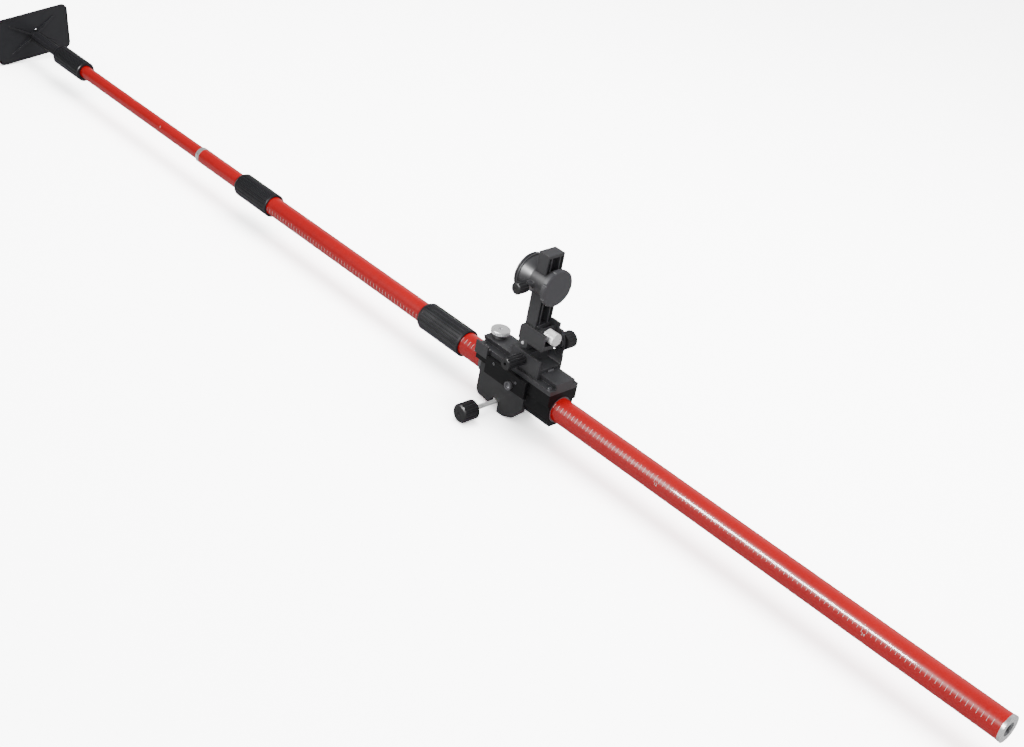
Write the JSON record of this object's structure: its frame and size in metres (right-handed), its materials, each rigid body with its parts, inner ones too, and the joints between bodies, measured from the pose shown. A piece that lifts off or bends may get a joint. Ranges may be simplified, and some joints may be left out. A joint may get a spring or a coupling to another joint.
{
  "type": "telescoping laser pole",
  "caption": "Telescoping floor-to-ceiling pole with twist-lock collars and a sliding clamp that carries a tilting instrument platform.",
  "frame": {"origin": "centre of the foot's outer face, on the pole's axis", "axes": "+X up the pole to the ceiling plate, +Z the way the clamp's arm stands, +Y towards the clamp screw's knob"},
  "size_m": [1.923, 0.1486, 0.2355],
  "materials": {
    "red_coat": "gloss",
    "bare_aluminium": "satin",
    "bright_steel": "satin",
    "dark_steel": "satin",
    "ribbed_plastic": "matt",
    "moulded_plastic": "satin",
    "knob_plastic": "matt",
    "jaw_plastic": "satin",
    "sleeve_plastic": "satin",
    "liner_plastic": "satin",
    "grip_rubber": "matt"
  },
  "bodies": {
    "main_pole": {"foot_plug": "bare_aluminium", "foot_insert": "dark_steel", "main_tube": "red_coat", "lower_lock_sleeve": "sleeve_plastic", "lower_collet": "sleeve_plastic"},
    "lower_lock": {"lower_collar": "ribbed_plastic"},
    "second_section": {"second_tube": "red_coat", "second_tube_bush": "sleeve_plastic", "middle_lock_sleeve": "sleeve_plastic", "middle_collet": "sleeve_plastic"},
    "middle_lock": {"middle_collar": "ribbed_plastic"},
    "third_section": {"third_tube": "red_coat", "third_tube_bush": "sleeve_plastic", "tube_coupler": "bare_aluminium", "top_tube": "red_coat", "top_lock_sleeve": "sleeve_plastic", "top_collet": "sleeve_plastic"},
    "top_lock": {"top_collar": "ribbed_plastic"},
    "push_section": {"push_rod": "ribbed_plastic", "push_rod_bush": "sleeve_plastic", "ceiling_plate": "moulded_plastic", "ceiling_pad": "grip_rubber", "plate_screw": "dark_steel"},
    "clamp_sleeve": {"clamp_liner": "liner_plastic"},
    "clamp": {"clamp_body": "moulded_plastic", "jaw_pin": "bright_steel", "clamp_nut": "bright_steel", "slide_rail": "moulded_plastic", "rack": "moulded_plastic", "rail_screws": "bright_steel", "side_screws": "dark_steel", "thumbwheel_seat": "moulded_plastic"},
    "jaw": {"moving_jaw": "jaw_plastic"},
    "jaw_washer": {"clamp_washer": "bright_steel"},
    "jaw_screw": {"clamp_screw": "bright_steel", "clamp_knob": "knob_plastic"},
    "slide_lock": {"thumbwheel_stud": "bright_steel", "thumbwheel": "bare_aluminium"},
    "carriage": {"carriage": "moulded_plastic"},
    "pinion": {"pinion": "dark_steel", "pinion_knob": "knob_plastic"},
    "bracket": {"hinge_bracket": "moulded_plastic", "tilt_pin": "bright_steel", "arm": "moulded_plastic"},
    "tilt_lock": {"bracket_lock_screw": "bright_steel", "bracket_lock_knob": "knob_plastic"},
    "arm_lock": {"arm_screw": "bare_aluminium"},
    "slider": {"platform_slider": "moulded_plastic", "platform_pad": "grip_rubber"},
    "stud": {"stud_screw": "bright_steel", "stud_disc": "moulded_plastic"},
    "slider_lock": {"slider_lock_screw": "bright_steel", "slider_lock_knob": "knob_plastic"}
  },
  "joints": [
    {"name": "lower_twist", "type": "hinge", "parent": "main_pole", "child": "lower_lock", "pos_m": [0.882, 0, 0], "axis": [1, 0, 0], "range_deg": [0, 120]},
    {"name": "second_slide", "type": "slide", "parent": "main_pole", "child": "second_section", "axis": [1, 0, 0], "range_m": [-0.335, 0.44]},
    {"name": "middle_twist", "type": "hinge", "parent": "second_section", "child": "middle_lock", "pos_m": [1.297, 0, 0], "axis": [1, 0, 0], "range_deg": [0, 120]},
    {"name": "third_slide", "type": "slide", "parent": "second_section", "child": "third_section", "axis": [1, 0, 0], "range_m": [-0.09, 0.74]},
    {"name": "top_twist", "type": "hinge", "parent": "third_section", "child": "top_lock", "pos_m": [1.805, 0, 0], "axis": [1, 0, 0], "range_deg": [0, 120]},
    {"name": "push_slide", "type": "slide", "parent": "third_section", "child": "push_section", "axis": [1, 0, 0], "range_m": [-0.075, 0.12]},
    {"name": "clamp_slide", "type": "slide", "parent": "main_pole", "child": "clamp_sleeve", "axis": [1, 0, 0], "range_m": [-0.65, 0.037]},
    {"name": "clamp_turn", "type": "hinge", "parent": "clamp_sleeve", "child": "clamp", "pos_m": [0.721, 0, 0], "axis": [1, 0, 0], "continuous": true},
    {"name": "jaw_open", "type": "hinge", "parent": "clamp", "child": "jaw", "pos_m": [0.738, 0.022, 0.009], "axis": [1, 0, 0], "range_deg": [0, 12]},
    {"name": "screw_feed", "type": "slide", "parent": "clamp", "child": "jaw_washer", "axis": [0, 1, 0], "range_m": [-0.034, 0.008]},
    {"name": "screw_turn", "type": "hinge", "parent": "jaw_washer", "child": "jaw_screw", "pos_m": [0.745, 0.057, -0.034], "axis": [0, 1, 0], "range_deg": [-12240, 2880]},
    {"name": "slide_lock_turn", "type": "hinge", "parent": "clamp", "child": "slide_lock", "pos_m": [0.775, 0, 0.046], "axis": [0, 0, 1], "range_deg": [-360, 0]},
    {"name": "carriage_slide", "type": "slide", "parent": "clamp", "child": "carriage", "axis": [1, 0, 0], "range_m": [-0.012, 0.012]},
    {"name": "pinion_turn", "type": "hinge", "parent": "carriage", "child": "pinion", "pos_m": [0.714, 0, 0.047], "axis": [0, 1, 0], "range_deg": [-138, 138]},
    {"name": "arm_tilt", "type": "hinge", "parent": "carriage", "child": "bracket", "pos_m": [0.721, 0, 0.065], "axis": [0, 1, 0], "range_deg": [-8, 8]},
    {"name": "tilt_lock_turn", "type": "hinge", "parent": "bracket", "child": "tilt_lock", "pos_m": [0.6901, -0.02, 0.0733], "axis": [0, 1, 0], "range_deg": [-360, 0]},
    {"name": "arm_lock_turn", "type": "hinge", "parent": "bracket", "child": "arm_lock", "pos_m": [0.69, 0, 0.084], "axis": [1, 0, 0], "range_deg": [-360, 0]},
    {"name": "platform_slide", "type": "slide", "parent": "bracket", "child": "slider", "axis": [0, 0, 1], "range_m": [-0.022, 0.022]},
    {"name": "stud_turn", "type": "hinge", "parent": "slider", "child": "stud", "pos_m": [0.745, 0, 0.148], "axis": [1, 0, 0], "continuous": true},
    {"name": "slider_lock_turn", "type": "hinge", "parent": "slider", "child": "slider_lock", "pos_m": [0.724, 0.03, 0.146], "axis": [0, 1, 0], "range_deg": [-360, 0]}
  ],
  "couplings": [
    {"joint": "pinion_turn", "follows": "carriage_slide", "rad_per_m": 200},
    {"joint": "screw_turn", "follows": "screw_feed", "rad_per_m": 6283.2}
  ]
}
